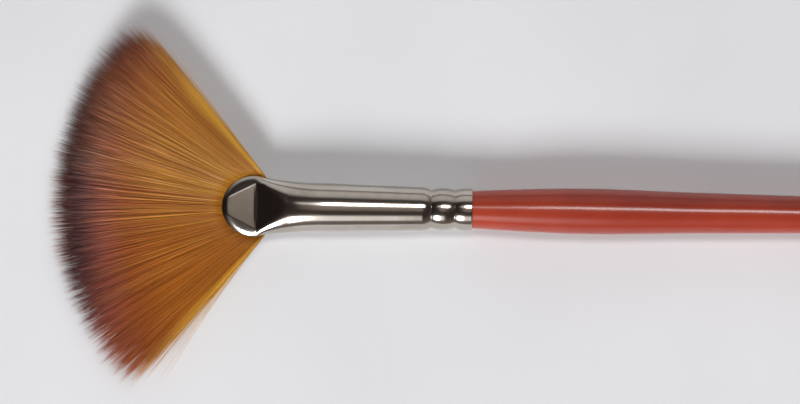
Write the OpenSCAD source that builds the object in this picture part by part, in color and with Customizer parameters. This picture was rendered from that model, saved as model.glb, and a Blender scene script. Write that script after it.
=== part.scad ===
// Fan brush with a turned wooden handle, lying flat.
// Millimetres, +Z up. +X runs along the brush from the fan to the tail.
// The origin is on the surface that the brush lies on, under the middle of its length.
// Distances "from the lip" are measured along the axis from the front of the ferrule's lip.

/* [Fan] */
// Radius of the fan's outer edge, from the point where its filaments would meet
fan_r = 33; // [28:0.5:40]
// Half of the angle that the fan spreads over
fan_half = 51; // [40:1:56]
// Distance from the lip back to the point where the filaments would meet
fan_apex = 9.4; // [8:0.1:11.5]
// Strands in each of the five layers
strands = 80; // [60:2:100]
// Share of the strand spacing that a strand fills
strand_fill = 0.75; // [0.5:0.05:0.85]
// Clear height between two layers at the lip
layer_gap = 0.02; // [0.01:0.01:0.06]
// Extra height between two layers at the tips
layer_spread = 0.12; // [0:0.02:0.3]
// Depth of the glued slice that a layer's strands grow from
slice_depth = 0.5; // [0.3:0.05:1]
// Length of a strand's pointed end
point_len = 5; // [2:0.5:9]
// How much shorter the shortest strand is than the longest
ragged = 1.4; // [0:0.1:3]

/* [Ferrule] */
// Length of the ferrule along the axis
ferrule_len = 34.9; // [30:0.1:44]
// Thickness of the ferrule's sheet
wall = 0.3; // [0.2:0.02:0.4]
// Width of the flat lip
lip_w = 8.6; // [7:0.1:11]
// Thickness of the flat lip over both sheets
lip_t = 1.5; // [1.3:0.05:2]
// Length of the lip's rounded front
lip_len = 4.4; // [3.4:0.1:5.6]
// Straight side of the lip, behind its rounded front
lip_side = 0.3; // [0.2:0.05:0.6]
// Length over which the tube goes from flat to round
press_len = 10.3; // [8:0.1:13]
// Diameter of the round barrel where it starts
barrel_front_d = 6.72; // [5.6:0.02:8]
// Diameter of the round barrel at the crimps
barrel_back_d = 6.0; // [5.2:0.02:7.2]

/* [Crimps] */
// Distance of the front crimp from the ferrule's back rim
crimp_front = 5.9; // [5:0.1:7.5]
// Distance of the back crimp from the ferrule's back rim
crimp_back = 2.7; // [2:0.1:3.4]
// Width of a crimp
crimp_w = 1.1; // [0.8:0.1:1.5]
// Depth of a crimp below the collar
crimp_depth = 0.2; // [0.1:0.02:0.3]
// Diameter of the bead and the collar behind the front crimp
collar_d = 5.84; // [5:0.02:7]

/* [Handle] */
// Length of the handle outside the ferrule
handle_len = 133; // [100:1:220]
// Step from the collar down to the handle
shoulder_step = 0.3; // [0.1:0.02:0.5]
// Diameter of the belly
belly_d = 6.4; // [5.6:0.1:9]
// Distance of the belly behind the ferrule
belly_at = 16.5; // [12:0.5:24]
// Diameter where the long taper starts
taper_d = 5.76; // [5:0.02:8]
// Distance of that place behind the belly
taper_run = 14.5; // [10:0.5:24]
// Diameter at the tail
tail_d = 3.5; // [2.6:0.1:4.6]
// Length of the rounded tail
tail_round = 2.4; // [1:0.1:4]
// Thickness of the lacquer coat
coat_t = 0.15; // [0.1:0.01:0.25]

/* [Inside the ferrule] */
// Diameter of the tied butt of the filaments
butt_d = 4; // [3:0.1:4.4]
// Length of butt that the resin holds
butt_grip = 2.2; // [1:0.1:3]
// Length of the resin plug
plug_len = 4.2; // [3.2:0.1:6]
// Empty length between the resin plug and the handle's tenon
air_gap = 3.7; // [1:0.1:6]
// Thickness of the binding thread
thread_d = 0.24; // [0.16:0.02:0.3]
// Turns of binding thread
thread_turns = 7; // [4:1:9]
// Thickness of the glue round the tenon
glue_t = 0.12; // [0.08:0.01:0.2]

/* [Fits] */
// Clearance between two pieces that are glued or coated together
seat = 0.03; // [0.02:0.01:0.05]
// Clearance between the lip and the free filaments, which swing past it
swing = 0.35; // [0.3:0.05:0.5]

/* [Hidden] */
$fn = 96;

// Colours
wood_colour = "#d8b98a";
lacquer_colour = "#9a3a24";
glue_colour = "#e6d8ac";
nickel_colour = "#b8b3ac";
resin_colour = "#d2ac62";
root_colour = "#96602f";
thread_colour = "#e4dccb";
filament_colour = "#a5682f";

// Number of sides of the pressed tube and of the root bundle
tube_sides = 40;
root_sides = 32;
// Superellipse power of a round section and of the flat lip
round_power = 2;
flat_power = 4;
// Rings along the pressed tube, along its lip and along the root bundle
press_rings = 9;
lip_rings = 3;
root_rings = 5;
// How deep the pressed tube's end is let into the barrel's wall, and how far inside the wall it stays
let_in = 0.5;
let_in_wall = wall / 5;
// Share of the way to flat at which the pressed tube's last full ring lies
first_press = 0.05;
// How fast the pressed tube draws in behind the lip
press_draw = 2.6;
// Profile points along each curved stretch of the ferrule and the handle
curve_steps = 16;
// Slope of the handle at the ferrule, at the start of the taper and at the tail
shoulder_slope = 0.052;
taper_slope = -0.018;
tail_slope = -0.008;
// Chamfer on the tenon's end
tenon_chamfer = 0.5;
// Layers of the fan, and the middle one counted from the bottom
layers = 5;
middle_layer = (layers - 1) / 2;
// Steps by which the strands' lengths vary, from strand to strand and from layer to layer
ragged_step = 0.382;
ragged_layer_step = 0.236;

// Places along the axis, from the lip
crease = lip_len + lip_side;
round_from = crease + press_len;
crimp_1 = ferrule_len - crimp_front;
crimp_2 = ferrule_len - crimp_back;
plug_from = round_from;
plug_to = plug_from + plug_len;
tenon_from = plug_to + air_gap;
taper_at = belly_at + taper_run;
tail_at = handle_len - tail_round;
butt_to = plug_from + butt_grip;
thread_from = plug_from - (thread_turns + 1) * thread_d;
fan_front = fan_r - fan_apex;

// The frame: half way along, on the surface below
mid_x = (ferrule_len + handle_len - fan_front) / 2;
axis_z = max(barrel_front_d, belly_d) / 2;

// Radius of the crimped groove's bottom
crimp_r = collar_d / 2 - crimp_depth;
// Radius of the handle where it leaves the ferrule
shoulder_r = collar_d / 2 - shoulder_step;
// Height from one layer to the next, at the lip's slot and at the tips
lip_pitch = (lip_t - 2 * wall) / layers;
tip_pitch = lip_pitch + layer_spread;
// Thickness of a strand
strand_t = lip_pitch - layer_gap;
// Share of the way to round at which the pressed tube is high enough inside for the butt
butt_rise = (butt_d + 2 * (wall + seat) - lip_t) / (barrel_front_d - lip_t);
butt_from = crease + press_len * asin(butt_rise) / 90;
// Angle from one strand to the next
strand_pitch = 2 * fan_half / strands;

function mix(a, b, t) = a + (b - a) * t;
function signed_pow(v, p) = sign(v) * pow(abs(v), p);
// Cubic from value a with slope m to value b with slope k, over a run of length len
function cubic(a, m, b, k, len, t) =
    a * (1 - 3 * t * t + 2 * t * t * t) + m * len * (t - 2 * t * t + t * t * t)
    + b * (3 * t * t - 2 * t * t * t) + k * len * (t * t * t - t * t);
// Values from a to b in even steps
function steps(a, b, n) = [for (i = [0:n]) mix(a, b, i / n)];
// A list without its first value, and a list turned round
function after_first(list) = [for (i = [1:len(list) - 1]) list[i]];
function turned_round(list) = [for (i = [len(list) - 1:-1:0]) list[i]];

// Outside radius of the barrel at a distance from the lip
function crimp_share(x, at) = abs(x - at) < crimp_w / 2 ? (1 + cos(360 * (x - at) / crimp_w)) / 2 : 0;
function barrel_cone_r(x) = mix(barrel_front_d, barrel_back_d, (x - round_from) / (crimp_1 - round_from)) / 2;
function barrel_base_r(x) = x < crimp_1 ? barrel_cone_r(x) : collar_d / 2;
function barrel_r(x) = mix(barrel_base_r(x), crimp_r, max(crimp_share(x, crimp_1), crimp_share(x, crimp_2)));
// Distances from the lip at which the barrel's profile has a point, from a to b
crimp_stops = concat(steps(crimp_1 - crimp_w / 2, crimp_1 + crimp_w / 2, curve_steps),
                     steps(crimp_2 - crimp_w / 2, crimp_2 + crimp_w / 2, curve_steps));
function barrel_stops(a, b) = concat([a], [for (x = crimp_stops) if (x > a && x < b) x], [b]);
function barrel_line(a, b, inset) = [for (x = barrel_stops(a, b)) [barrel_r(x) - inset, x]];

// Outside radius of the handle at a distance behind the ferrule
function handle_r(v) =
    v < belly_at ? cubic(shoulder_r, shoulder_slope, belly_d / 2, 0, belly_at, v / belly_at)
    : v < taper_at ? cubic(belly_d / 2, 0, taper_d / 2, taper_slope, taper_run, (v - belly_at) / taper_run)
    : v < tail_at ? cubic(taper_d / 2, taper_slope, tail_d / 2, tail_slope, tail_at - taper_at,
                          (v - taper_at) / (tail_at - taper_at))
    : tail_d / 2;
handle_stops = concat(steps(0, belly_at, curve_steps), after_first(steps(belly_at, taper_at, curve_steps)),
                      after_first(steps(taper_at, tail_at, curve_steps)));
// Profile of the handle from the ferrule to the tail's point, set in from the outside by inset
function handle_line(inset, from) =
    concat([for (v = handle_stops) [handle_r(max(v, from)) - inset, ferrule_len + max(v, from)]],
           [for (a = steps(0, 90, curve_steps)) if (a > 0 && a < 90)
               [(tail_d / 2 - inset) * cos(a), ferrule_len + tail_at + (tail_round - inset) * sin(a)]],
           [[0, ferrule_len + handle_len - inset]]);

// Section of the pressed tube at a share t of the way from flat to round: half width, half height, power
function press_half_w(t) = mix(barrel_front_d, lip_w, pow(1 - t, press_draw)) / 2;
function press_half_h(t) = mix(lip_t, barrel_front_d, sin(90 * t)) / 2;
function press_power(t) = mix(round_power, flat_power, (1 - t) * (1 - t));
function section(half_w, half_h, power, sides) =
    [for (i = [0:sides - 1]) let (a = 360 * i / sides)
        [half_w * signed_pow(cos(a), 2 / power), half_h * signed_pow(sin(a), 2 / power)]];
// Ring of points at one distance from the lip
function flat_ring(x, half_w, half_h, power, sides) =
    [for (p = section(half_w, half_h, power, sides)) [x, p[0], p[1]]];
// Ring in the lip, at a share s of the way from the crease to the lip's rounded edge
function lip_edge(y) = lip_len - lip_len * sqrt(max(0, 1 - pow(2 * y / lip_w, 2)));
function lip_ring(s, inset, back, sides) =
    let (shape = section(lip_w / 2, lip_t / 2, flat_power, sides))
    let (inner = section(lip_w / 2 - inset, lip_t / 2 - inset, flat_power, sides))
    [for (i = [0:sides - 1]) [mix(crease, lip_edge(shape[i][0]) + back, s), inner[i][0], inner[i][1]]];
function press_ring(t, inset, sides) =
    flat_ring(mix(crease, round_from, t), press_half_w(t) - inset, press_half_h(t) - inset, press_power(t),
              sides);
function round_ring(x, r, sides) = flat_ring(x, r, r, round_power, sides);
// One face of the pressed tube, from its end in the barrel's wall to the lip's edge
function press_face(inset, end_inset) =
    concat([round_ring(round_from + let_in, barrel_r(round_from + let_in) - end_inset, tube_sides)],
           [for (t = steps(1 - first_press, 0, press_rings)) press_ring(t, inset, tube_sides)],
           [for (i = [1:lip_rings]) lip_ring(i / lip_rings, inset, 0, tube_sides)]);

// A face with its point numbers moved on
function moved(face, by) = [for (p = face) p + by];
// Triangles between one ring and the next
function band(i, j, sides) =
    [for (k = [0:sides - 1]) let (n = (k + 1) % sides)
        each [[i * sides + k, i * sides + n, j * sides + n], [i * sides + k, j * sides + n, j * sides + k]]];

// Distance from the fan's meeting point to a line that stands clear of the lip by gap, along an angle
function lip_reach(a, gap) =
    let (back = fan_apex - lip_len)
    let (rx = lip_len + gap)
    let (ry = lip_w / 2 + gap)
    let (square = pow(cos(a) / rx, 2) + pow(sin(a) / ry, 2))
    let (half = back * cos(a) / (rx * rx))
    let (rest = back * back / (rx * rx) - 1)
    let (reach = (half + sqrt(half * half - square * rest)) / square)
    reach * cos(a) >= back ? reach : ry / abs(sin(a));
// A point of the fan at a distance and angle from the meeting point
function fan_point(reach, a, z) = [fan_apex - reach * cos(a), reach * sin(a), z];
// Length that a strand falls short by, alike on both sides of the axis
function short_by(i, layer) =
    let (from_axis = floor(abs(i - (strands - 1) / 2)))
    ragged * ((from_axis * ragged_step + layer * ragged_layer_step) % 1);

module on_axis() {
    translate([-mid_x, 0, axis_z])
        children();
}

module turned() {
    rotate([0, 90, 0])
        rotate_extrude()
            children();
}

module handle_core() {
    tenon_inset = wall + glue_t + 2 * seat;
    tenon_end_r = barrel_r(tenon_from) - tenon_inset;
    color(wood_colour)
        on_axis()
            turned()
                polygon(concat([[0, tenon_from], [tenon_end_r - tenon_chamfer, tenon_from]],
                               barrel_line(tenon_from + tenon_chamfer, ferrule_len - seat, tenon_inset),
                               handle_line(coat_t + seat, 0)));
}

module handle_lacquer() {
    inner = handle_line(coat_t, seat);
    outer = handle_line(0, seat);
    color(lacquer_colour)
        on_axis()
            turned()
                polygon(concat(inner, turned_round(outer)));
}

module tenon_glue() {
    from = tenon_from + tenon_chamfer;
    outer = barrel_line(from, ferrule_len, wall + seat);
    inner = barrel_line(from, ferrule_len, wall + seat + glue_t);
    color(glue_colour)
        on_axis()
            turned()
                polygon(concat(inner, turned_round(outer)));
}

module ferrule() {
    outer = barrel_line(round_from, ferrule_len, 0);
    inner = barrel_line(round_from, ferrule_len, wall);
    outside = press_face(0, let_in_wall);
    inside = press_face(wall, wall - let_in_wall);
    rings = concat(outside, turned_round(inside));
    color(nickel_colour)
        on_axis() {
            turned()
                polygon(concat(inner, turned_round(outer)));
            polyhedron(points = [for (r = rings) each r],
                       faces = [for (i = [0:len(rings) - 1]) each band(i, (i + 1) % len(rings), tube_sides)]);
        }
}

module epoxy_plug() {
    color(resin_colour)
        on_axis()
            difference() {
                turned()
                    polygon([[0, plug_from], [barrel_r(plug_from) - wall - seat, plug_from],
                             [barrel_r(plug_to) - wall - seat, plug_to], [0, plug_to]]);
                translate([plug_from - butt_grip, 0, 0])
                    rotate([0, 90, 0])
                        cylinder(d = butt_d + 2 * seat, h = 2 * butt_grip + seat);
            }
}

module root_bundle() {
    inset = wall + seat;
    half = root_sides / 2;
    rings = concat([lip_ring(1, inset, seat, root_sides)],
                   [for (t = steps(0, 1 - first_press, root_rings))
                       flat_ring(mix(crease, butt_from, t), mix(lip_w / 2 - inset, butt_d / 2, t),
                                 mix(lip_t / 2 - inset, butt_d / 2, t), mix(flat_power, round_power, t),
                                 root_sides)],
                   [round_ring(butt_from + let_in, butt_d / 2 - let_in_wall, root_sides)]);
    last = len(rings) - 1;
    mouth = [for (k = [0:half - 1]) let (a = (root_sides - k) % root_sides)
                each concat(k > 0 ? [[k, k + 1, a]] : [],
                            k < half - 1 ? [[k + 1, root_sides - k - 1, a]] : [])];
    back = [[for (k = [root_sides - 1:-1:0]) last * root_sides + k]];
    color(root_colour)
        on_axis() {
            polyhedron(points = [for (r = rings) each r],
                       faces = concat(mouth, [for (i = [0:last - 1]) each band(i + 1, i, root_sides)], back));
            translate([butt_from, 0, 0])
                rotate([0, 90, 0])
                    cylinder(d = butt_d, h = butt_to - butt_from);
        }
}

module binding_thread() {
    inner_r = butt_d / 2 + seat;
    color(thread_colour)
        on_axis()
            turned()
                polygon(concat([[inner_r, thread_from + thread_turns * thread_d], [inner_r, thread_from]],
                               [for (i = [0:thread_turns - 1]) each
                                   [for (a = [0:30:150])
                                       [inner_r + thread_d / 2 * (1 + sin(a)),
                                        thread_from + thread_d * (i + (1 - cos(a)) / 2)]]]));
}

module filament_layer(layer) {
    root_z = (layer - middle_layer) * lip_pitch;
    tip_z = (layer - middle_layer) * tip_pitch;
    half_t = strand_t / 2;
    half_a = strand_pitch * strand_fill / 2;
    // Points of one strand, top before bottom in each pair: the back of its slice, the slice's front
    // on one side and the other, the strand's bend on one side and the other, and its tip
    points = [for (i = [0:strands - 1])
        let (a = -fan_half + (i + 0.5) * strand_pitch)
        let (tip = fan_r - short_by(i, layer))
        let (bend = tip - point_len)
        let (bend_z = mix(root_z, tip_z, bend / tip))
        each concat(
            [for (z = [half_t, -half_t]) fan_point(lip_reach(a, swing), a, root_z + z)],
            [for (s = [-1, 1], z = [half_t, -half_t])
                fan_point(lip_reach(a + s * half_a, swing) + slice_depth, a + s * half_a, root_z + z)],
            [for (s = [-1, 1], z = [half_t, -half_t]) fan_point(bend, a + s * half_a, bend_z + z)],
            [fan_point(tip, a, tip_z)])];
    each_has = len(points) / strands;
    next = each_has;
    sides = [[2, 7, 6], [2, 3, 7], [4, 9, 5], [4, 8, 9], [2, 8, 4], [2, 6, 8], [3, 9, 7], [3, 5, 9]];
    point = [[6, 7, 10], [9, 8, 10], [8, 6, 10], [7, 9, 10]];
    slice = [[0, 2, 4], [1, 5, 3]];
    to_next = [[0, next + 2, next], [0, 4, next + 2], [1, next + 3, 5], [1, next + 1, next + 3],
               [0, next + 1, 1], [0, next, next + 1], [4, next + 3, next + 2], [4, 5, next + 3]];
    first_end = [[0, 3, 2], [0, 1, 3]];
    last_end = [[0, 5, 1], [0, 4, 5]];
    faces = concat([for (i = [0:strands - 1], f = concat(sides, point, slice)) moved(f, each_has * i)],
                   [for (i = [0:strands - 2], f = to_next) moved(f, each_has * i)],
                   first_end,
                   [for (f = last_end) moved(f, each_has * (strands - 1))]);
    color(filament_colour)
        on_axis()
            polyhedron(points = points, faces = faces);
}

module filaments_bottom() {
    filament_layer(0);
}

module filaments_lower() {
    filament_layer(1);
}

module filaments_middle() {
    filament_layer(2);
}

module filaments_upper() {
    filament_layer(3);
}

module filaments_top() {
    filament_layer(4);
}

handle_core();
handle_lacquer();
tenon_glue();
ferrule();
epoxy_plug();
root_bundle();
binding_thread();
filaments_top();
filaments_upper();
filaments_middle();
filaments_lower();
filaments_bottom();
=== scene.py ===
"""Looks of a fan brush that lies flat: nickel ferrule, lacquered handle and a fan of amber filaments.

Sizes are in millimetres, as in the part's own dimensions, and u is the distance along the brush from
the front of the ferrule's lip towards the tail. Blender works in metres, so points are scaled when
they are written.
"""

import logging
import math
from dataclasses import dataclass, field
from enum import Enum
from typing import Optional

import bpy
import numpy as np
from bpy.types import Light, Material, Mesh, Node, NodeSocket, NodeTree, Object
from mathutils import Matrix, Vector, noise


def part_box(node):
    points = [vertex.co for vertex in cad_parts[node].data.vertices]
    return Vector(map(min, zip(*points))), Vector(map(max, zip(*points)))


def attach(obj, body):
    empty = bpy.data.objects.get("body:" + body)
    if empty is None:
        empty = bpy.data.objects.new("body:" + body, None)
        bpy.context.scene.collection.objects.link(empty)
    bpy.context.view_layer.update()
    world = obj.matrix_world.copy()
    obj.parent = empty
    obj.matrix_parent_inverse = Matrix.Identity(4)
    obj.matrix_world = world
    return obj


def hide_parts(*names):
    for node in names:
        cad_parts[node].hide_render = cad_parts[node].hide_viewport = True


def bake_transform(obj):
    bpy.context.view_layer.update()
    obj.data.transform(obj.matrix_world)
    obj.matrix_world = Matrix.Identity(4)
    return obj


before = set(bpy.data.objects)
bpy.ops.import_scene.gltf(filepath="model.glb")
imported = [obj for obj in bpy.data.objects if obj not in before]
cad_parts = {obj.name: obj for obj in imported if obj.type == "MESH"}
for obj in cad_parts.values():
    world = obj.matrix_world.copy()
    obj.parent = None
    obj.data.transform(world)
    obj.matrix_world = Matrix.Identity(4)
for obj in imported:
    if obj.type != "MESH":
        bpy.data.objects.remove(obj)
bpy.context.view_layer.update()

MM = 0.001
SAME_PLACE = 1e-7
LOG = logging.getLogger("fan_brush")

Points = np.ndarray
Value = float | np.ndarray
Colour = tuple[float, float, float, float]


class Body(Enum):
    """The two bodies that the hinge under the lip joins."""

    STEM = "stem"
    TUFT = "tuft"


class Layer(Enum):
    """The layers of the fan, by their place above or below the middle one."""

    BOTTOM = -2
    LOWER = -1
    MIDDLE = 0
    UPPER = 1
    TOP = 2

    @property
    def node(self) -> str:
        """Name of the CAD node of this layer."""
        return f"filaments_{self.name.lower()}"


def linear(hex_colour: str) -> Colour:
    """Turns an sRGB hex colour into linear light.

    Args:
        hex_colour: Six hex digits after a #.

    Returns:
        Red, green, blue and an alpha of 1.
    """
    shares = [int(hex_colour[i:i + 2], 16) / 255 for i in (1, 3, 5)]
    red, green, blue = [s / 12.92 if s <= 0.04045 else ((s + 0.055) / 1.055) ** 2.4 for s in shares]
    return red, green, blue, 1.0


def add_node(tree: NodeTree, kind: str, inputs: Optional[dict] = None,
             stops: tuple = (), **settings) -> Node:
    """Adds a shader node with its settings and links.

    Args:
        tree: Node tree that the node goes into.
        kind: Type of node, without its prefix.
        inputs: For an input's name or number, the socket that feeds it or the value that it holds.
        stops: For a colour ramp, its places and hex colours.
        **settings: Properties of the node itself.

    Returns:
        The new node.
    """
    node = tree.nodes.new("ShaderNode" + kind)
    for name, value in settings.items():
        setattr(node, name, value)
    for name, value in (inputs or {}).items():
        if isinstance(value, NodeSocket):
            tree.links.new(value, node.inputs[name])
        else:
            node.inputs[name].default_value = value
    for i, (place, colour) in enumerate(stops):
        elements = node.color_ramp.elements
        element = elements[i] if i < 2 else elements.new(place)
        element.position = place
        element.color = linear(colour)
    return node


def new_material(name: str, inputs: Optional[dict] = None) -> tuple[Material, NodeTree, Node]:
    """Makes an empty node material.

    Args:
        name: Name of the real material.
        inputs: Values of the shader's inputs that stay the same all over.

    Returns:
        The material, its node tree and its principled shader.
    """
    material = bpy.data.materials.new(name)
    material.use_nodes = True
    tree = material.node_tree
    tree.nodes.clear()
    shader = add_node(tree, "BsdfPrincipled", inputs)
    add_node(tree, "OutputMaterial", {"Surface": shader.outputs["BSDF"]})
    return material, tree, shader


def speckle(tree: NodeTree, size: float, detail: float, length: Optional[float] = None) -> NodeSocket:
    """Adds noise that is fixed to the piece.

    Args:
        tree: The material's node tree.
        size: Size of its spots, in millimetres.
        detail: Number of finer layers in it.
        length: Length of its spots where they are drawn out to lines along the brush.

    Returns:
        The noise's value.
    """
    place = add_node(tree, "TexCoord").outputs["Object"]
    fine = 1 / (MM * size)
    if length is None:
        spots = add_node(tree, "TexNoise", {"Vector": place, "Scale": fine, "Detail": detail})
    else:
        lines = add_node(tree, "Mapping", {"Vector": place, "Scale": (1 / (MM * length), fine, fine)})
        spots = add_node(tree, "TexNoise", {"Vector": lines.outputs[0], "Scale": 1.0, "Detail": detail})
    return spots.outputs["Fac"]


def tint(tree: NodeTree, shader: Node, value: NodeSocket, stops: tuple) -> None:
    """Colours a shader by a value, with a hex colour for each of the stops in it."""
    ramp = add_node(tree, "ValToRGB", {"Fac": value}, stops=stops)
    tree.links.new(ramp.outputs["Color"], shader.inputs["Base Color"])


def emboss(tree: NodeTree, value: NodeSocket, depth: float) -> NodeSocket:
    """Adds a bump, with a depth in millimetres, that follows a value."""
    bump = add_node(tree, "Bump", {"Height": value, "Distance": MM * depth, "Strength": 1.0})
    return bump.outputs["Normal"]


@dataclass(frozen=True)
class NickelPlate:
    """Bright nickel on a drawn brass tube: a warm grey mirror with faint draw marks along its length."""

    tones: tuple = ((0.35, "#b8b0a5"), (0.62, "#c8c1b8"))
    stain_size: float = 3.5
    stain_detail: float = 4.0
    stain_low: float = 0.3
    stain_high: float = 0.7
    roughness_low: float = 0.12
    roughness_high: float = 0.16
    mark_width: float = 0.22
    mark_length: float = 9.0
    mark_detail: float = 3.0
    mark_depth: float = 0.0012

    def material(self) -> Material:
        """Builds the plate's material."""
        material, tree, shader = new_material("bright_nickel_plate", {"Metallic": 1.0})
        stain = speckle(tree, self.stain_size, self.stain_detail)
        tint(tree, shader, stain, self.tones)
        polish = add_node(tree, "MapRange", {"Value": stain, "From Min": self.stain_low,
                                             "From Max": self.stain_high, "To Min": self.roughness_high,
                                             "To Max": self.roughness_low})
        tree.links.new(polish.outputs["Result"], shader.inputs["Roughness"])
        marks = speckle(tree, self.mark_width, self.mark_detail, self.mark_length)
        tree.links.new(emboss(tree, marks, self.mark_depth), shader.inputs["Normal"])
        return material


@dataclass(frozen=True)
class DippedLacquer:
    """Orange-red nitrocellulose lacquer, dipped in several coats: deep gloss with a slow ripple."""

    tones: tuple = ((0.36, "#982b13"), (0.6, "#aa3516"))
    cloud_size: float = 14.0
    cloud_detail: float = 3.0
    ripple_size: float = 1.6
    ripple_length: float = 9.0
    ripple_detail: float = 1.0
    ripple_depth: float = 0.004
    roughness: float = 0.5
    specular: float = 0.2
    coat: float = 0.85
    coat_roughness: float = 0.18
    coat_ior: float = 1.5

    def material(self) -> Material:
        """Builds the lacquer's material."""
        material, tree, shader = new_material("dipped_lacquer", {
            "Roughness": self.roughness, "Specular IOR Level": self.specular, "Coat Weight": self.coat,
            "Coat Roughness": self.coat_roughness, "Coat IOR": self.coat_ior})
        tint(tree, shader, speckle(tree, self.cloud_size, self.cloud_detail), self.tones)
        ripple = speckle(tree, self.ripple_size, self.ripple_detail, self.ripple_length)
        raised = emboss(tree, ripple, self.ripple_depth)
        tree.links.new(raised, shader.inputs["Normal"])
        tree.links.new(raised, shader.inputs["Coat Normal"])
        return material


@dataclass(frozen=True)
class DyedFilament:
    """Tapered polyester filament, amber and glossy, its last fifth dyed dark brown; its golden colours also
    carry a painted sheen and a painted glow at the fan's edges.
    """

    map_name: str = "OFBake"
    deep: tuple = ((0.0, "#985608"), (0.34, "#a65c0a"), (0.54, "#b6640c"), (0.68, "#b05a1c"),
                   (0.77, "#b05a48"), (0.86, "#64343a"), (0.905, "#543236"), (0.935, "#7a443a"),
                   (0.965, "#b8725a"), (0.99, "#d49c84"))
    # The golden colours give the filaments' own lighter tones, and they also carry the painted sheen and the
    # painted edge glow.
    golden_and_sheen: tuple = ((0.0, "#dca038"), (0.34, "#ecb43c"), (0.54, "#f0b844"), (0.68, "#dc9c48"),
                     (0.77, "#c48a54"), (0.86, "#a87864"), (0.905, "#966c60"), (0.935, "#a4786a"),
                     (0.965, "#c49480"), (0.99, "#d8b4a0"))
    roughness: float = 0.42
    ior: float = 1.55
    specular: float = 0.4

    def material(self) -> Material:
        """Builds the filament's material. Its map gives the place along each filament and its tone, which
        holds its own tone together with a painted sheen and a painted edge glow.
        """
        material, tree, shader = new_material("dyed_polyester_filament", {
            "Roughness": self.roughness, "IOR": self.ior, "Specular IOR Level": self.specular})
        place = add_node(tree, "UVMap", uv_map=self.map_name).outputs["UV"]
        parts = add_node(tree, "SeparateXYZ", {"Vector": place})
        dark, light = [add_node(tree, "ValToRGB", {"Fac": parts.outputs["Y"]}, stops=stops).outputs["Color"]
                       for stops in (self.deep, self.golden_and_sheen)]
        # The map's first value mixes in the golden colours, which carry the painted sheen and the painted
        # edge glow.
        colour = add_node(tree, "Mix", {0: parts.outputs["X"], 6: dark, 7: light}, data_type="RGBA")
        tree.links.new(colour.outputs[2], shader.inputs["Base Color"])
        return material


@dataclass(frozen=True)
class Mottled:
    """A plain finish with spots or lines of two tones, such as wood, set glue or board.

    Sizes are in millimetres. With a length, the spots are drawn out to lines along the brush.
    """

    name: str
    tones: tuple
    size: float
    detail: float
    roughness: float
    length: Optional[float] = None

    def material(self) -> Material:
        """Builds the finish's material."""
        material, tree, shader = new_material(self.name, {"Roughness": self.roughness})
        tint(tree, shader, speckle(tree, self.size, self.detail, self.length), self.tones)
        return material


@dataclass(frozen=True)
class TwistedThread:
    """Undyed cotton thread: matt, with the slanting lines of its twist."""

    name: str = "undyed_cotton_thread"
    tones: tuple = ((0.2, "#bcb19a"), (0.8, "#e6dfcf"))
    ply_width: float = 0.3
    bands: float = 20.0
    distortion: float = 0.6
    roughness: float = 0.85

    def material(self) -> Material:
        """Builds the thread's material."""
        material, tree, shader = new_material(self.name, {"Roughness": self.roughness})
        place = add_node(tree, "TexCoord").outputs["Object"]
        twist = add_node(tree, "TexWave", {"Vector": place, "Scale": 1 / (MM * self.ply_width * self.bands),
                                           "Distortion": self.distortion}, bands_direction="DIAGONAL")
        tint(tree, shader, twist.outputs["Fac"], self.tones)
        return material


def dress(piece: Object, material: Material) -> None:
    """Gives a piece one material all over.

    Args:
        piece: The piece.
        material: Its material.
    """
    piece.data.materials.clear()
    piece.data.materials.append(material)


def mix(a: Value, b: Value, t: Value) -> Value:
    """Value a share t of the way from a to b."""
    return a + (b - a) * t


def ease(t: Value) -> Value:
    """Smooth step from 0 to 1."""
    t = np.clip(t, 0, 1)
    return t * t * (3 - 2 * t)


@dataclass(frozen=True)
class Sweep:
    """A value that changes smoothly from low to high over a run of angles, in degrees."""

    low: float
    high: float
    start: float
    run: float

    def at(self, angle: Points) -> Points:
        """The value at each angle."""
        return mix(self.low, self.high, ease((angle - self.start) / self.run))


@dataclass(frozen=True)
class Axis:
    """Where the brush's axis lies in the frame, in metres."""

    lip_x: float
    height: float

    @classmethod
    def of_frame(cls) -> "Axis":
        """Reads the axis off the ferrule's box."""
        low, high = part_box("ferrule")
        return cls(low.x, (low.z + high.z) / 2)

    def place(self, points: Points) -> Points:
        """Turns points in millimetres, from the lip along the axis, into places in the frame."""
        return np.asarray(points, float) * MM + np.array([self.lip_x, 0, self.height])


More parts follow.
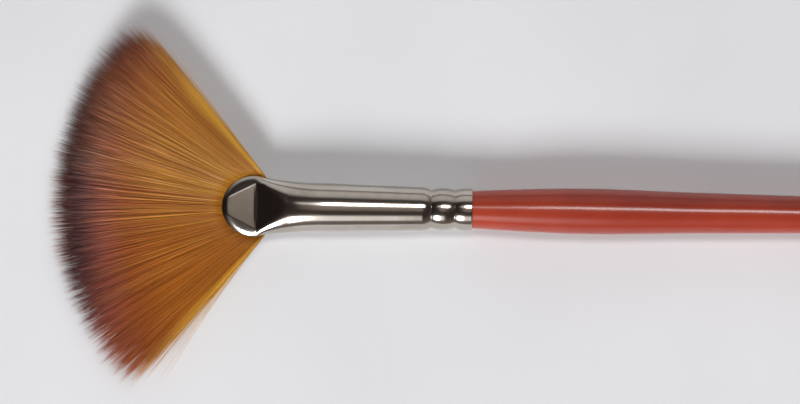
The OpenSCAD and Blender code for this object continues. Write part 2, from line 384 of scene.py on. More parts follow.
def loft(name: str, rings: Points, closed: bool = False) -> Object:
    """Models a tube by extruding a circle ring by ring, and moves each ring to its shape.

    Args:
        name: Name of the piece.
        rings: Places of the rings' points in the frame, one row of points for each ring.
        closed: Whether the last ring joins the first.

    Returns:
        The piece, with points that share a place merged and faces pointing outwards.
    """
    count, sides = rings.shape[:2]
    bpy.ops.object.select_all(action="DESELECT")
    bpy.ops.mesh.primitive_circle_add(vertices=sides, radius=1.0, rotation=(0, math.pi / 2, 0))
    piece = bpy.context.object
    piece.name = piece.data.name = name
    bpy.ops.object.transform_apply(location=True, rotation=True, scale=True)
    bpy.ops.object.mode_set(mode="EDIT")
    bpy.ops.mesh.select_all(action="SELECT")
    for _ in range(count - 1):
        bpy.ops.mesh.extrude_region_move(TRANSFORM_OT_translate={"value": (1.0, 0.0, 0.0)})
    bpy.ops.object.mode_set(mode="OBJECT")
    start = np.zeros(3 * count * sides)
    piece.data.vertices.foreach_get("co", start)
    x, y, z = start.reshape(-1, 3).T
    ring = np.rint(x).astype(int)
    spoke = np.rint(np.arctan2(z, y) * sides / (2 * math.pi)).astype(int) % sides
    if closed:
        bpy.ops.object.mode_set(mode="EDIT")
        bpy.ops.mesh.select_all(action="DESELECT")
        bpy.ops.mesh.select_non_manifold()
        bpy.ops.mesh.bridge_edge_loops()
        bpy.ops.object.mode_set(mode="OBJECT")
    piece.data.vertices.foreach_set("co", rings[ring, spoke].ravel())
    bpy.ops.object.mode_set(mode="EDIT")
    bpy.ops.mesh.select_all(action="SELECT")
    bpy.ops.mesh.remove_doubles(threshold=SAME_PLACE)
    bpy.ops.mesh.normals_make_consistent(inside=False)
    bpy.ops.object.mode_set(mode="OBJECT")
    bpy.ops.object.shade_smooth()
    return piece


@dataclass
class Ferrule:
    """The drawn tube: flat rounded lip, pressed neck, round barrel and two crimps."""

    axis: Axis
    finish: NickelPlate = field(default_factory=NickelPlate)
    length: float = 34.9
    wall: float = 0.3
    lip_w: float = 8.6
    lip_t: float = 2.0
    lip_len: float = 4.4
    lip_side: float = 0.3
    press_len: float = 10.3
    press_draw: float = 2.6
    ramp: float = 0.42
    knee_share: float = 0.38
    knee_slope: float = 0.18
    knee_soft: float = 0.1
    barrel_front_h: float = 6.34
    barrel_front_d: float = 6.72
    barrel_back_d: float = 6.0
    crimp_front: float = 5.65
    crimp_back: float = 2.4
    crimp_half: float = 1.35
    crimp_r: float = 2.66
    bead_rise: float = 0.27
    collar_rise: float = 0.27
    collar_share: float = 0.7
    bead_power: float = 2.0
    notch_half: float = 0.015
    facet_front: float = 0.6
    facet_front_half: float = 1.1
    facet_back_half: float = 3.2
    facet_crown: float = 0.08
    roll_start: float = 14.0
    roll_end: float = 39.0
    roll_power: float = 2.5
    roll_width: float = 1.25
    edge_round: float = 0.1
    ridge_h: float = 0.06
    ridge_half: float = 0.18
    ridge_fade: float = 1.3
    ridge_past: float = 0.6
    ridge_above: float = 0.3
    flat_share: float = 0.44
    blend_share: float = 0.16
    rim_round: float = 0.06
    mouth_share: float = 0.35
    groove_end: float = 7.0
    groove_half: float = 0.28
    groove_depth: float = 0.6
    crease_spread: float = 0.5
    sides: int = 128
    fine_steps: int = 600
    lip_fine: float = 0.16
    lip_fine_rings: int = 12
    lip_wide_rings: int = 26
    neck_fine: float = 0.06
    neck_end: float = 0.98
    neck_fine_rings: int = 9
    neck_wide_rings: int = 34
    barrel_rings: int = 9
    crimp_rings: int = 84
    rim_steps: int = 7

    @property
    def quarter(self) -> Points:
        """Fine steps through a quarter turn."""
        return np.linspace(0, math.pi / 2, self.fine_steps)

    @property
    def crease(self) -> float:
        """Where the flat lip ends and the neck starts to rise."""
        return self.lip_len + self.lip_side

    @property
    def round_from(self) -> float:
        """Where the neck has become round."""
        return self.crease + self.press_len

    def lip_edge(self, y: Points) -> Points:
        """Distance of the lip's rounded front edge at a place across it."""
        return self.lip_len * (1 - np.sqrt(np.maximum(0, 1 - (2 * y / self.lip_w) ** 2)))

    def lip_height(self, u: Points, y: Points) -> Points:
        """Height of the lip's top face: a flat facet with a shoulder that rolls down to the edge.

        Args:
            u: Distances from the lip.
            y: Places across the lip.

        Returns:
            Heights above the axis.
        """
        half_w = self.lip_w / 2
        side = np.abs(y)
        corner = np.array([self.facet_front, self.facet_front_half])
        slant = np.array([self.crease, self.facet_back_half]) - corner
        at = np.clip(((u - corner[0]) * slant[0] + (side - corner[1]) * slant[1]) / (slant @ slant), 0, 1)
        beside = np.hypot(u - corner[0] - at * slant[0], side - corner[1] - at * slant[1])
        before = np.hypot(self.facet_front - u, np.maximum(0, side - corner[1]))
        inside = (u >= self.facet_front) & (side <= corner[1] + (u - corner[0]) * slant[1] / slant[0])
        outside = np.where(inside, 0, np.where(u < self.facet_front, np.minimum(before, beside), beside))
        inward = np.hypot(np.maximum(0, self.lip_len - u) / self.lip_len, side / half_w)
        to_edge = np.maximum(0, 1 - inward) * half_w
        steep = math.tan(math.radians(self.roll_start)), math.tan(math.radians(self.roll_end))
        near = np.clip(1 - to_edge / self.roll_width, 0, 1)
        bend = self.roll_width * near ** (self.roll_power + 1) / (self.roll_power + 1)
        fall = outside * steep[0] + bend * (steep[1] - steep[0])
        last = np.clip(1 - to_edge / self.edge_round, 0, 1)
        fall = fall + self.edge_round * (1 - np.sqrt(1 - last ** 2))
        return self.lip_t / 2 - self.facet_crown * (side / half_w) ** 2 - fall

    def ridge(self, u: Points, y: Points) -> Points:
        """Height of the small ridge that the press leaves along the crease."""
        across = ease(self.ridge_fade * (1 - np.abs(y) / (self.facet_back_half + self.ridge_past)))
        return self.ridge_h * across * np.exp(-((u - self.crease) / self.ridge_half) ** 2)

    def folded(self, u: Points, y: Points, h: Points) -> Points:
        """Presses a groove into the folds beside the lip, where the outermost filaments come out.

        Args:
            u: Distances from the lip.
            y: Places across the lip.
            h: Heights above the axis.

        Returns:
            The places across, moved in where the groove is.
        """
        depth = self.groove_depth * ease((self.groove_end - u) / (self.groove_end - self.crease))
        low = ease(1 - np.abs(h) / self.groove_half)
        beside = ease((np.abs(y) - self.facet_back_half) / self.groove_depth)
        return y - np.sign(y) * depth * low * beside

    def around(self, quarter_y: Points, quarter_h: Points) -> Points:
        """Spaces points evenly along a quarter of a section and mirrors them all round.

        Args:
            quarter_y: Places across, from the side to the middle.
            quarter_h: Heights, from the side to the top.

        Returns:
            The section's points, across and up, from the side over the top.
        """
        along = np.concatenate([[0], np.cumsum(np.hypot(np.diff(quarter_y), np.diff(quarter_h)))])
        at = np.linspace(0, along[-1], self.sides // 4 + 1)
        y, h = np.interp(at, along, quarter_y), np.interp(at, along, quarter_h)
        half_y = np.concatenate([y, -y[-2:0:-1]])
        half_h = np.concatenate([h, h[-2:0:-1]])
        first = np.stack([half_y, half_h], 1)
        return np.concatenate([first, -first])

    def crease_section(self) -> Points:
        """Section of the lip at the crease."""
        y = self.lip_w / 2 * np.cos(self.quarter) ** self.crease_spread
        y[-1] = 0
        h = self.lip_height(np.full_like(y, self.crease), y)
        return self.around(np.insert(y, 0, y[0]), np.insert(h, 0, 0))

    def round_section(self, half_w: float, half_h: float) -> Points:
        """Section of the round tube, or an oval one."""
        return self.around(half_w * np.cos(self.quarter), half_h * np.sin(self.quarter))

    def neck_half_h(self, t: float) -> float:
        """Half the neck's height: a straight ramp up from the lip, a knee and a slow rise to the barrel."""
        knee_h = self.lip_t / 2 + self.ramp * self.knee_share * self.press_len
        left = self.barrel_front_h / 2 - knee_h
        power = self.knee_slope * (1 - self.knee_share) * self.press_len / left
        ramp_h = self.lip_t / 2 + self.ramp * t * self.press_len
        rest = min(1.0, max(0.0, (1 - t) / (1 - self.knee_share)))
        rise_h = self.barrel_front_h / 2 - left * rest ** power
        turn = (self.ramp - self.knee_slope) * self.press_len / 2
        sink = self.knee_soft * turn * math.exp(-abs(t - self.knee_share) / self.knee_soft)
        return (ramp_h if t < self.knee_share else rise_h) - sink

    def neck_section(self, t: float) -> Points:
        """Section of the neck at a share t of the way from flat to round."""
        half_w = mix(self.barrel_front_d, self.lip_w, (1 - t) ** self.press_draw) / 2
        half_h = self.neck_half_h(t)
        flat = self.facet_back_half * max(0.0, 1 - t / self.flat_share)
        y = flat + (half_w - flat) * np.cos(self.quarter)
        pressed = self.around(np.append(y, 0), np.append(half_h * np.sin(self.quarter), half_h))
        scale = np.array([2 * half_w / self.lip_w, 2 * half_h / self.lip_t])
        return mix(self.crease_section() * scale, pressed, ease(t / self.blend_share))

    def barrel_r(self, u: float) -> float:
        """Outside radius of the barrel, its crimps, bead and collar."""
        crimp_1 = self.length - self.crimp_front
        crimp_2 = self.length - self.crimp_back
        if u < crimp_1:
            cone = mix(self.barrel_front_d, self.barrel_back_d,
                       (u - self.round_from) / (crimp_1 - self.round_from)) / 2
            rise, off = cone - self.crimp_r, 1 - (crimp_1 - u) / self.crimp_half
        elif u < crimp_2:
            rise, off = self.bead_rise, abs(2 * (u - crimp_1) / (crimp_2 - crimp_1) - 1)
        else:
            rise, off = self.collar_rise, 1 - (u - crimp_2) / (self.collar_share * self.crimp_back)
        return self.crimp_r + rise * (1 - max(0.0, off) ** self.bead_power)

    def lip_rings(self, inset: float) -> list[Points]:
        """Rings of the lip from the crease to its rounded edge, set in from the outside."""
        section = self.crease_section()
        y = section[:, 0]
        wall_share = section[:, 1] / self.lip_height(np.full_like(y, self.crease), y)
        fine = np.linspace(0, self.lip_fine, self.lip_fine_rings)
        wide = np.linspace(self.lip_fine, 1, self.lip_wide_rings)
        rings = []
        for s in np.unique(np.concatenate([fine, wide])):
            u = mix(self.crease, self.lip_edge(y), s)
            top = self.lip_height(u, y) + self.ridge(u, y)
            h = top - np.minimum(inset, self.mouth_share * top)
            h = wall_share * h
            rings.append(np.stack([u, self.folded(u, y * (1 - 2 * inset / self.lip_w), h), h], 1))
        return rings

    def tube_rings(self, inset: float) -> list[Points]:
        """Rings of the neck and the barrel from the crease to the back rim, set in from the outside."""
        fine = np.linspace(0, self.neck_fine, self.neck_fine_rings)
        wide = np.linspace(self.neck_fine, self.neck_end, self.neck_wide_rings)
        rings = []
        for t in np.unique(np.concatenate([fine, wide]))[1:]:
            u = mix(self.crease, self.round_from, t)
            section = self.neck_section(t)
            out = section / np.maximum(np.hypot(*section.T), 1e-9)[:, None]
            y, h = (section - inset * out).T
            rise = self.ridge(np.full_like(y, u), y) * np.sign(h) * (np.abs(h) > self.ridge_above)
            rings.append(np.stack([np.full_like(y, u), self.folded(u, y, h), h + rise], 1))
        notches = self.length - np.array([self.crimp_front, self.crimp_back])
        even = np.linspace(notches[0] - self.crimp_half, self.length, self.crimp_rings)
        beside = [notches - self.notch_half, notches, notches + self.notch_half]
        crimps = np.unique(np.concatenate([even, *beside]))
        barrel = np.linspace(self.round_from, crimps[0], self.barrel_rings)[:-1]
        flatter = (self.barrel_front_d - self.barrel_front_h) / 2
        for u in np.concatenate([barrel, crimps]):
            r = self.barrel_r(u) - inset
            share = max(0.0, (crimps[0] - u) / (crimps[0] - self.round_from))
            section = self.round_section(r, r - flatter * share)
            rings.append(np.insert(section, 0, u, axis=1))
        return rings

    def rounded(self, outer: Points, inner: Points, out: Points) -> list[Points]:
        """Rings of a rounded sheet edge between the outer and the inner face.

        Args:
            outer: Last ring of the outer face.
            inner: First ring of the inner face.
            out: Direction that the edge faces, for each point.

        Returns:
            The rings between the two.
        """
        return [mix(outer, inner, (1 - math.cos(a)) / 2) + self.rim_round * math.sin(a) * out
                for a in np.linspace(0, math.pi, self.rim_steps)[1:-1]]

    def build(self) -> Object:
        """Models the ferrule as one closed sheet.

        Returns:
            The ferrule.
        """
        outside, inside = self.lip_rings(0), self.lip_rings(self.wall)
        edge = outside[-1]
        ahead = np.stack([(edge[:, 0] - self.lip_len) / self.lip_len ** 2,
                          edge[:, 1] / (self.lip_w / 2) ** 2, np.zeros(self.sides)], 1)
        ahead /= np.linalg.norm(ahead, axis=1)[:, None]
        tube, bore = self.tube_rings(0), self.tube_rings(self.wall)
        behind = np.tile([1.0, 0.0, 0.0], (self.sides, 1))
        rings = (tube[::-1] + outside + self.rounded(outside[-1], inside[-1], ahead) + inside[::-1] + bore
                 + self.rounded(bore[-1], tube[-1], behind))
        return loft("ferrule_shell", self.axis.place(np.array(rings)), closed=True)

    def dress(self, piece: Object) -> None:
        """Plates the ferrule and puts it in its node's place."""
        dress(piece, self.finish.material())
        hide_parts("ferrule")
        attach(piece, Body.STEM.value)


@dataclass
class Handle:
    """The handle's lacquer coat, with the slow waves that dipping leaves."""

    axis: Axis
    finish: DippedLacquer = field(default_factory=DippedLacquer)
    start: float = 34.93
    ferrule_len: float = 34.9
    length: float = 133.0
    shoulder_r: float = 2.62
    shoulder_slope: float = 0.052
    belly_r: float = 3.2
    belly_at: float = 16.5
    taper_r: float = 2.88
    taper_run: float = 14.5
    taper_slope: float = -0.018
    tail_r: float = 1.75
    tail_slope: float = -0.008
    tail_round: float = 2.4
    coat_t: float = 0.15
    front_edge: float = 0.05
    wave_h: float = 0.011
    wave_length: float = 9.0
    wave_width: float = 1.5
    wave_fade_front: float = 2.0
    wave_fade_tail: float = 4.0
    sides: int = 128
    outer_rings: int = 190
    inner_rings: int = 36
    tail_rings: int = 13

    def radius(self, v: float) -> float:
        """Outside radius at a distance behind the ferrule."""
        taper_at = self.belly_at + self.taper_run
        tail_at = self.length - self.tail_round
        stretches = [(0, self.shoulder_r, self.shoulder_slope, self.belly_at, self.belly_r, 0),
                     (self.belly_at, self.belly_r, 0, taper_at, self.taper_r, self.taper_slope),
                     (taper_at, self.taper_r, self.taper_slope, tail_at, self.tail_r, self.tail_slope)]
        for from_v, a, m, to_v, b, k in stretches:
            if v <= to_v:
                run = to_v - from_v
                t = (v - from_v) / run
                return (a * (1 - 3 * t * t + 2 * t ** 3) + m * run * (t - 2 * t * t + t ** 3)
                        + b * (3 * t * t - 2 * t ** 3) + k * run * (t ** 3 - t * t))
        turn = min(1.0, (v - tail_at) / self.tail_round)
        return self.tail_r * math.sqrt(max(0.0, 1 - turn * turn))

    def ring(self, v: float, inset: float, wavy: bool) -> Points:
        """One ring of the coat.

        Args:
            v: Distance behind the ferrule.
            inset: How far the ring is set in from the outside.
            wavy: Whether the ring follows the lacquer's waves.

        Returns:
            The ring's points.
        """
        turn = np.linspace(0, 2 * math.pi, self.sides, endpoint=False)
        r = np.full(self.sides, max(0.0, self.radius(v) - inset))
        if wavy:
            fade = (self.wave_h * min(1.0, v / self.wave_fade_front)
                    * min(1.0, (self.length - v) / self.wave_fade_tail))
            r = r + [fade * noise.noise(Vector((v / self.wave_length, r[0] * math.cos(a) / self.wave_width,
                                                r[0] * math.sin(a) / self.wave_width))) for a in turn]
        return np.stack([np.full(self.sides, self.ferrule_len + v), r * np.cos(turn), r * np.sin(turn)], 1)

    def stations(self, count: int, end: float) -> Points:
        """Distances behind the ferrule, closer together at the front edge and towards the rounded tail."""
        tail_at = self.length - self.tail_round
        straight = np.linspace(self.start - self.ferrule_len, tail_at, count - self.tail_rings)
        straight = np.insert(straight, 1, straight[0] + self.front_edge)
        curved = tail_at + (end - tail_at) * np.sin(np.linspace(0, math.pi / 2, self.tail_rings))[1:]
        return np.concatenate([straight, curved])

    def build(self) -> Object:
        """Models the coat as one closed shell.

        Returns:
            The coat.
        """
        inner_end = self.length - self.coat_t
        inner = [self.ring(v, self.coat_t, False) for v in self.stations(self.inner_rings, inner_end)]
        inner[-1][:, 1:] = 0
        outer = [self.ring(v, 0, True) for v in self.stations(self.outer_rings, self.length)]
        return loft("lacquer_coat", self.axis.place(np.array(inner[::-1] + outer)))

    def dress(self, piece: Object) -> None:
        """Lacquers the coat and puts it in its node's place."""
        dress(piece, self.finish.material())
        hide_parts("handle_lacquer")
        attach(piece, Body.STEM.value)


@dataclass
class FilamentFan:
    """The fan: thousands of tapered filaments in five layers, gathered in loose locks.

    Pairs of values are for the low and the high side of the fan, or the two ends of a range.
    """

    axis: Axis
    finish: DyedFilament = field(default_factory=DyedFilament)
    reach: float = 33.0
    apex: float = 9.4
    low_angle: float = -49.8
    high_angle: float = 50.8
    lip_len: float = 4.4
    lip_half_w: float = 4.3
    hidden: float = 0.8
    per_layer: int = 2000
    low_strays: int = 14
    high_strays: int = 4
    locks: int = 48
    wisps: int = 170
    width: float = 0.115
    width_range: tuple = (0.8, 1.15)
    side_angle: float = 120.0
    root_pitch: float = 0.075
    root_jitter: float = 0.5
    tip_pitch: float = 0.26
    tip_jitter: float = 0.45
    rise_power: float = 0.8
    bow: float = 0.08
    seed: int = 20261
    twist_seed: int = 20311
    lock_seed: int = 20361
    wisp_seed: int = 20461
    shared_seed: int = 20561
    group_slack: float = 0.3
    least_half: float = 0.05
    rim_past: Sweep = Sweep(2.15, 3.4, -5, 50)
    corner_past: Sweep = Sweep(0, 0.4, -28, -12)
    spikes: Sweep = Sweep(1.0, 0.35, -28, 22)
    lock_gather: tuple = (0.1, 0.42)
    lock_point: float = 1.1
    lock_power: float = 1.5
    lock_tone: float = 0.06
    wisp_gather: tuple = (0.1, 0.6)
    wisp_tone: float = 0.07
    wisp_short: float = 0.3
    gather_power: float = 2.2
    drift: float = 0.5
    drift_power: float = 1.6
    tip_shape: float = 5.0
    tip_scale: float = 0.42
    tip_spread: Sweep = Sweep(1.0, 1.6, -5, 40)
    edge_run: float = 5.0
    edge_short: tuple = (3.0, 4.2)
    edge_thin: tuple = (0.3, 0.6)
    # Painted glow: filaments near both edges of the fan get a golden tone. This is light shining through the
    # thin edge filaments, painted into their colour.
    painted_glow: float = 0.85
    painted_glow_from: tuple = (0.4, 1.0)
    painted_glow_run: tuple = (3.4, 4.4)
    # Painted sheen: from the lower side upwards the fan gets a lighter, more golden tone. This is the lamps'
    # highlight on the filaments painted into their colour, and the cut takes some of it back towards the
    # upper corner.
    painted_sheen: Sweep = Sweep(0.03, 0.36, -22, 42)
    painted_sheen_cut: Sweep = Sweep(0, 0.10, 30, 12)
    tone_spread: float = 0.10
    tone_range: tuple = (0.03, 0.94)
    side_tone: float = 0.012
    dye_shift: Sweep = Sweep(-0.15, -0.10, 0, 30)
    dye_middle: float = -2.0
    dye_aside: Sweep = Sweep(0, 1, 6, 40)
    dye_spread: float = 0.022
    dye_late: float = 0.55
    dye_late_from: float = 0.8
    dye_inset: float = 0.9
    dye_range: tuple = (0.02, 0.99)
    stray_fly: tuple = (-1.8, 1.4)
    stray_power: float = 0.8
    stray_thick: float = 0.45
    stray_tone: float = 0.95
    stations: tuple = (0.0, 0.1, 0.26, 0.44, 0.60, 0.74, 0.88, 1.0)
    taper: tuple = (0.75, 0.92, 1.0, 1.0, 0.90, 0.70, 0.40, 0.0)
    bend_from: float = -0.4
    bend_to: float = -15.0

    def one_filament(self) -> tuple[Points, Points, list]:
        """Models one three-sided filament and reads it off as a pattern for the rest.

        Returns:
            The station and the side of each of its points, and its faces.
        """
        turn = np.radians(self.side_angle * np.arange(3))
        rings = np.array([[(i, w * math.cos(a), w * math.sin(a)) for a in turn]
                          for i, w in enumerate(self.taper)])
        pattern = loft("filament_pattern", rings)
        bpy.ops.object.mode_set(mode="EDIT")
        bpy.ops.mesh.select_all(action="DESELECT")
        bpy.ops.mesh.select_non_manifold()
        bpy.ops.mesh.edge_face_add()
        bpy.ops.mesh.select_all(action="SELECT")
        bpy.ops.mesh.normals_make_consistent(inside=False)
        bpy.ops.object.mode_set(mode="OBJECT")
        points = np.array([v.co for v in pattern.data.vertices])
        station = np.rint(points[:, 0]).astype(int)
        side = np.rint(np.arctan2(points[:, 2], points[:, 1]) / math.radians(self.side_angle)).astype(int) % 3
        faces = [list(p.vertices) for p in pattern.data.polygons]
        bpy.data.objects.remove(pattern)
        return station, side, faces

    def lip_reach(self, angle: Points) -> Points:
        """Distance from the meeting point to the lip's outline along an angle, in radians."""
        back = self.apex - self.lip_len
        square = (np.cos(angle) / self.lip_len) ** 2 + (np.sin(angle) / self.lip_half_w) ** 2
        half = back * np.cos(angle) / self.lip_len ** 2
        rest = (back / self.lip_len) ** 2 - 1
        front = (half + np.sqrt(np.maximum(0, half ** 2 - square * rest))) / square
        flank = self.lip_half_w / np.maximum(np.abs(np.sin(angle)), 1e-6)
        return np.where(front * np.cos(angle) >= back, front, flank)

    def rim(self, angle: Points) -> Points:
        """Radius of the fan's outer edge at an angle, in degrees."""
        return self.reach + self.rim_past.at(angle) + self.corner_past.at(angle)

    def groups(self, angle: Points, count: int, seed: int) -> tuple[Points, Points, Points]:
        """Shares the filaments out to groups of uneven width.

        Args:
            angle: Angles of the filaments, in degrees.
            count: Number of groups.
            seed: Seed of the groups' borders, the same for all layers.

        Returns:
            For each filament its place in its group from -1 to 1, half the group's width and its number.
        """
        even = np.linspace(self.low_angle, self.high_angle, count + 1)
        slack = np.random.default_rng(seed).uniform(-self.group_slack, self.group_slack, count - 1)
        borders = np.concatenate([even[:1], even[1:-1] + slack * (even[1] - even[0]), even[-1:]])
        group = np.clip(np.searchsorted(borders, angle) - 1, 0, count - 1)
        half = np.maximum((borders[group + 1] - borders[group]) / 2, self.least_half)
        return (angle - borders[group]) / half - 1, half, group

    def lay(self, layer: Layer) -> tuple[Points, Points, Points]:
        """Lays the filaments of one layer.

        Args:
            layer: The layer.

        Returns:
            For each filament and station: its place, its thickness, and its tone (with the painted sheen and
                painted edge glow in it) and place in the colours.
        """
        rng = np.random.default_rng(self.seed + layer.value)
        count = self.per_layer
        span = self.high_angle - self.low_angle
        angle = self.low_angle + span * (np.arange(count) + rng.uniform(0, 1, count)) / count
        drift = rng.normal(0, self.drift, count)
        number = np.arange(count)
        stray = (number < self.low_strays) | (number >= count - self.high_strays)
        edge_gap = np.minimum(angle - self.low_angle, self.high_angle - angle)
        low_side = angle < (self.low_angle + self.high_angle) / 2
        lock_off, lock_half, lock = self.groups(angle, self.locks, self.lock_seed)
        wisp_off, wisp_half, wisp = self.groups(angle, self.wisps, self.wisp_seed)
        spiky = self.spikes.at(angle)
        shared = np.random.default_rng(self.shared_seed)
        lock_gather = shared.uniform(*self.lock_gather, self.locks)[lock] * spiky
        wisp_gather = shared.uniform(*self.wisp_gather, self.wisps)[wisp]
        lock_tone = shared.normal(0, self.lock_tone, self.locks)[lock]
        wisp_tone = shared.normal(0, self.wisp_tone, self.wisps)[wisp]
        wisp_short = np.abs(shared.normal(0, self.wisp_short, self.wisps))[wisp]

        fine = ease(1 - edge_gap / self.edge_run)
        sparse = np.where(low_side, *self.edge_short) * rng.uniform(0, 1, count) * fine
        short = rng.gamma(self.tip_shape, self.tip_scale, count) * self.tip_spread.at(angle)
        tip = self.rim(angle) - short - wisp_short - sparse
        tip -= self.lock_point * spiky * np.abs(lock_off) ** self.lock_power
        pull = -lock_off * lock_half * lock_gather - wisp_off * wisp_half * wisp_gather
        # Painted glow along both edges of the fan.
        painted_glow_at = (edge_gap - np.where(low_side, *self.painted_glow_from)) / np.where(low_side, *self.painted_glow_run)
        painted_glow = self.painted_glow * (1 - ease(painted_glow_at))
        # Painted sheen, less towards the upper corner.
        painted_sheen = self.painted_sheen.at(angle) - self.painted_sheen_cut.at(angle)
        # Each filament's tone holds its own tone from its lock, its wisp and chance, and also the painted
        # sheen and the painted edge glow.
        tone_and_sheen = painted_sheen + lock_tone + wisp_tone + rng.normal(0, self.tone_spread, count) + painted_glow
        shift = self.dye_shift.at(angle) * self.dye_aside.at(np.abs(angle - self.dye_middle))
        shift = shift + rng.normal(0, self.dye_spread, count)
        thick = self.width * rng.uniform(*self.width_range, count)
        thick = thick * (1 - np.where(low_side, *self.edge_thin) * fine)

        t = np.array(self.stations)
        fly = np.where(stray, np.where(low_side, *self.stray_fly) * rng.exponential(1.0, count), 0)
        thick = np.where(stray, self.stray_thick, 1.0) * thick
        tone_and_sheen = np.where(stray, self.stray_tone, tone_and_sheen)
        heading = angle[:, None] + pull[:, None] * t ** self.gather_power
        heading = heading + drift[:, None] * t ** self.drift_power + fly[:, None] * t ** self.stray_power
        turn = np.radians(heading)
        root = self.lip_reach(np.radians(angle)) - self.hidden
        r = mix(root[:, None], tip[:, None], t)
        root_h = (layer.value + rng.uniform(-self.root_jitter, self.root_jitter, count)) * self.root_pitch
        tip_h = (layer.value + rng.normal(0, self.tip_jitter, count)) * self.tip_pitch
        bow = rng.normal(0, self.bow, count)
        h = mix(root_h[:, None], tip_h[:, None], t ** self.rise_power) + bow[:, None] * np.sin(math.pi * t)
        places = np.stack([self.apex - r * np.cos(turn), r * np.sin(turn), h], 2)
        late = t ** 2 * (1 + self.dye_late * ease((t - self.dye_late_from) / (1 - self.dye_late_from)))
        dye_at = r / (self.rim(angle) - self.dye_inset)[:, None] + shift[:, None] * late
        tones = np.stack([np.broadcast_to(np.clip(tone_and_sheen, *self.tone_range)[:, None], dye_at.shape),
                          np.clip(dye_at, *self.dye_range)], 2)
        return places, thick[:, None] * np.array(self.taper), tones

    def build(self, layer: Layer, pattern: tuple[Points, Points, list]) -> Object:
        """Copies the pattern filament along each line of a layer.

        Args:
            layer: The layer.
            pattern: The station and the side of each of a filament's points, and its faces.

        Returns:
            The layer as one piece.
        """
        station, side, faces = pattern
        places, thick, tones = self.lay(layer)
        along = np.gradient(places, axis=1)
        along /= np.linalg.norm(along, axis=2)[:, :, None]
        across = np.cross([0.0, 0.0, 1.0], along)
        across /= np.linalg.norm(across, axis=2)[:, :, None]
        above = np.cross(along, across)
        rng = np.random.default_rng(self.twist_seed + layer.value)
        twist = rng.uniform(0, 2 * math.pi, len(places))[:, None]
        turn = twist + np.radians(self.side_angle) * side
        swell = thick[:, station, None] / 2
        points = places[:, station] + swell * (np.cos(turn)[:, :, None] * across[:, station]
                                               + np.sin(turn)[:, :, None] * above[:, station])
        each = len(station)
        first = each * np.arange(len(places))
        mesh = bpy.data.meshes.new(f"filament_fan_{layer.name.lower()}")
        mesh.from_pydata(self.axis.place(points.reshape(-1, 3)).tolist(), [],
                         [[v + f for v in face] for f in first.tolist() for face in faces])
        self.map_tones(mesh, tones[:, station].reshape(-1, 2), np.tile(side, len(places)))
        piece = bpy.data.objects.new(mesh.name, mesh)
        bpy.context.scene.collection.objects.link(piece)
        mesh.shade_smooth()
        return piece

    def map_tones(self, mesh: Mesh, tones: Points, side: Points) -> None:
        """Writes each point's tone and place in the colours as the map that the finish reads.

        Args:
            mesh: The layer's mesh.
            tones: Tone and place for each point.
            side: Side of the filament that each point is on.
        """
        corner = np.zeros(len(mesh.loops), np.int32)
        mesh.loops.foreach_get("vertex_index", corner)
        spread = tones + np.stack([self.side_tone * side, np.zeros(len(side))], 1)
        layer = mesh.uv_layers.new(name=self.finish.map_name)
        layer.data.foreach_set("uv", spread[corner].astype(np.float32).ravel())

    def dress(self, piece: Object, layer: Layer, material: Material) -> None:
        """Gives a layer its finish and hides its CAD node."""
        dress(piece, material)
        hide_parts(layer.node)
        start, end = self.axis.place(np.array([[self.bend_from, 0, 0], [self.bend_to, 0, 0]]))
        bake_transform(piece)


@dataclass
class InnerPieces:
    """The pieces inside the ferrule and under the lacquer, which keep their CAD shape."""

    wood: Mottled = Mottled("turned_birch", ((0.38, "#c39a66"), (0.6, "#dcc095")),
                            size=0.5, detail=5.0, roughness=0.62, length=22.0)
    glue: Mottled = Mottled("set_wood_glue", ((0.35, "#d6c48c"), (0.65, "#e8dcb4")),
                            size=1.2, detail=4.0, roughness=0.4)
    plug: Mottled = Mottled("cast_epoxy", ((0.35, "#c09244"), (0.65, "#d8b26a")),
                            size=1.2, detail=4.0, roughness=0.3)
    roots: Mottled = Mottled("glued_filament_roots", ((0.35, "#6e4018"), (0.65, "#a8702e")),
                             size=0.12, detail=2.0, roughness=0.45, length=6.0)
    thread: TwistedThread = TwistedThread()

    def dress(self) -> None:
        """Gives each node its finish."""
        finishes = {"handle_core": self.wood, "tenon_glue": self.glue, "epoxy_plug": self.plug,
                    "root_bundle": self.roots, "binding_thread": self.thread}
        for node, finish in finishes.items():
            dress(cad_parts[node], finish.material())
            LOG.info("%s: %s", node, finish.name)


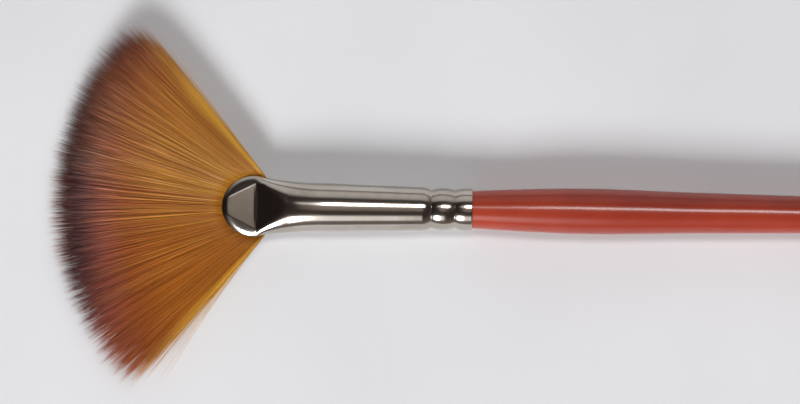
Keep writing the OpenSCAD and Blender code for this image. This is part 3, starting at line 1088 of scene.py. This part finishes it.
@dataclass(frozen=True)
class Softbox:
    """A flat lamp with an even face.

    The face points at the brush. Tilts are from straight up, towards +X and towards +Y, in degrees.
    """

    name: str
    tilt_x: float
    tilt_y: float
    width: float
    height: float
    radiance: float
    soft: float
    distance: float = 0.95

    def build(self, target: Vector) -> None:
        """Adds the lamp.

        Args:
            target: Point that the lamp faces.
        """
        lean = [math.tan(math.radians(tilt)) for tilt in (self.tilt_x, self.tilt_y)]
        away = Vector((*lean, 1)).normalized()
        beside = (Vector((1, 0, 0)) - away * away.x).normalized()
        facing = Matrix((beside, away.cross(beside), away)).transposed()
        data = bpy.data.lights.new(self.name, "AREA")
        data.shape = "RECTANGLE"
        data.size, data.size_y = self.width, self.height
        data.energy = self.radiance * math.pi * self.width * self.height
        lamp = bpy.data.objects.new(self.name, data)
        lamp.location = target + away * self.distance
        lamp.rotation_euler = facing.to_euler()
        bpy.context.scene.collection.objects.link(lamp)
        self.soften(data)

    def soften(self, data: Light) -> None:
        """Lets the lamp's face fade towards its edges, as a diffuser does."""
        data.use_nodes = True
        tree = data.node_tree
        tree.nodes.clear()
        place = add_node(tree, "NewGeometry").outputs["Parametric"]
        parts = add_node(tree, "SeparateXYZ", {"Vector": place})
        half = 0.5
        shares = []
        for side in ("X", "Y"):
            off = add_node(tree, "Math", {0: parts.outputs[side], 1: half}, operation="SUBTRACT")
            away = add_node(tree, "Math", {0: off.outputs[0]}, operation="ABSOLUTE")
            fade = add_node(tree, "MapRange", {"Value": away.outputs[0], "From Min": half,
                                               "From Max": half - self.soft / 2},
                            interpolation_type="SMOOTHSTEP")
            shares.append(fade.outputs["Result"])
        glow = add_node(tree, "Math", {0: shares[0], 1: shares[1]}, operation="MULTIPLY")
        face = add_node(tree, "Emission", {"Strength": glow.outputs[0]})
        add_node(tree, "OutputLight", {"Surface": face.outputs[0]})


@dataclass
class Studio:
    """Pale board, soft lamps and a camera that looks straight down."""

    axis: Axis
    board: Mottled = Mottled("matt_board", ((0.3, "#e6e7ea"), (0.7, "#ecedf0")),
                             size=40.0, detail=2.0, roughness=0.9)
    board_size: float = 8.0
    centre_u: float = 24.85
    centre_y: float = 0.91
    view_width: float = 112.0
    camera_height: float = 750.0
    camera_roll: float = 0.9
    sensor: float = 36.0
    lamps: tuple = (
        Softbox("key_softbox", -26.0, -53.0, width=0.27, height=0.42, radiance=36.5, soft=0.5),
        Softbox("spill_card", -8.0, -52.0, width=0.46, height=0.64, radiance=1.0, soft=0.6),
        Softbox("top_softbox", 9.5, 15.0, width=0.50, height=0.22, radiance=12.6, soft=0.4),
        Softbox("strip_card", -9.0, 15.0, width=0.40, height=0.22, radiance=0.9, soft=0.7),
        Softbox("back_card", 0.0, 64.0, width=2.0, height=0.9, radiance=0.5, soft=0.7),
    )
    sky: tuple = ((0.0, "#807a78"), (0.26, "#726a68"), (0.5, "#544b49"), (0.75, "#3a3230"),
                  (0.95, "#463d3a"), (1.0, "#948a84"))
    dark_side: tuple = ((0.0, "#404040"), (0.45, "#ffffff"))

    def build_board(self) -> None:
        """Adds the board under the brush."""
        bpy.ops.object.select_all(action="DESELECT")
        bpy.ops.mesh.primitive_plane_add(size=self.board_size)
        floor = bpy.context.object
        floor.name = "pale_board"
        dress(floor, self.board.material())

    def build_lights(self) -> None:
        """Adds the lamps and a dim room that is lighter near the horizon and overhead."""
        target = Vector(self.axis.place(np.array([[self.centre_u, 0, 0]]))[0])
        for lamp in self.lamps:
            lamp.build(target)
        world = bpy.data.worlds.new("studio_room")
        bpy.context.scene.world = world
        world.use_nodes = True
        tree = world.node_tree
        tree.nodes.clear()
        way = add_node(tree, "TexCoord").outputs["Generated"]
        parts = add_node(tree, "SeparateXYZ", {"Vector": way})
        room = add_node(tree, "ValToRGB", {"Fac": parts.outputs["Z"]}, stops=self.sky)
        aside = add_node(tree, "MapRange", {"Value": parts.outputs["X"], "From Min": -1.0})
        dark = add_node(tree, "ValToRGB", {"Fac": aside.outputs["Result"]}, stops=self.dark_side)
        shade = add_node(tree, "Background", {"Color": room.outputs["Color"],
                                              "Strength": dark.outputs["Color"]})
        add_node(tree, "OutputWorld", {"Surface": shade.outputs[0]})

    def build_camera(self) -> None:
        """Adds the camera above the brush."""
        data = bpy.data.cameras.new("photo_camera")
        data.sensor_width = self.sensor
        data.lens = self.sensor * self.camera_height / self.view_width
        camera = bpy.data.objects.new("photo_camera", data)
        camera.location = self.axis.place(np.array([[self.centre_u, self.centre_y, self.camera_height]]))[0]
        camera.rotation_euler = (0, 0, math.radians(self.camera_roll))
        scene = bpy.context.scene
        scene.collection.objects.link(camera)
        scene.camera = camera
        scene.view_settings.view_transform = "Standard"


def main() -> None:
    """Builds the studio and the brush."""
    logging.basicConfig(level=logging.INFO, format="%(name)s: %(message)s")
    axis = Axis.of_frame()
    studio = Studio(axis)
    studio.build_camera()
    studio.build_lights()
    studio.build_board()
    for part in (Ferrule(axis), Handle(axis)):
        piece = part.build()
        part.dress(piece)
        LOG.info("%s: %d faces", piece.name, len(piece.data.polygons))
    fan = FilamentFan(axis)
    pattern = fan.one_filament()
    material = fan.finish.material()
    for layer in Layer:
        piece = fan.build(layer, pattern)
        fan.dress(piece, layer, material)
        LOG.info("%s: %d faces", piece.name, len(piece.data.polygons))
    InnerPieces().dress()


if __name__ == "__main__":
    main()
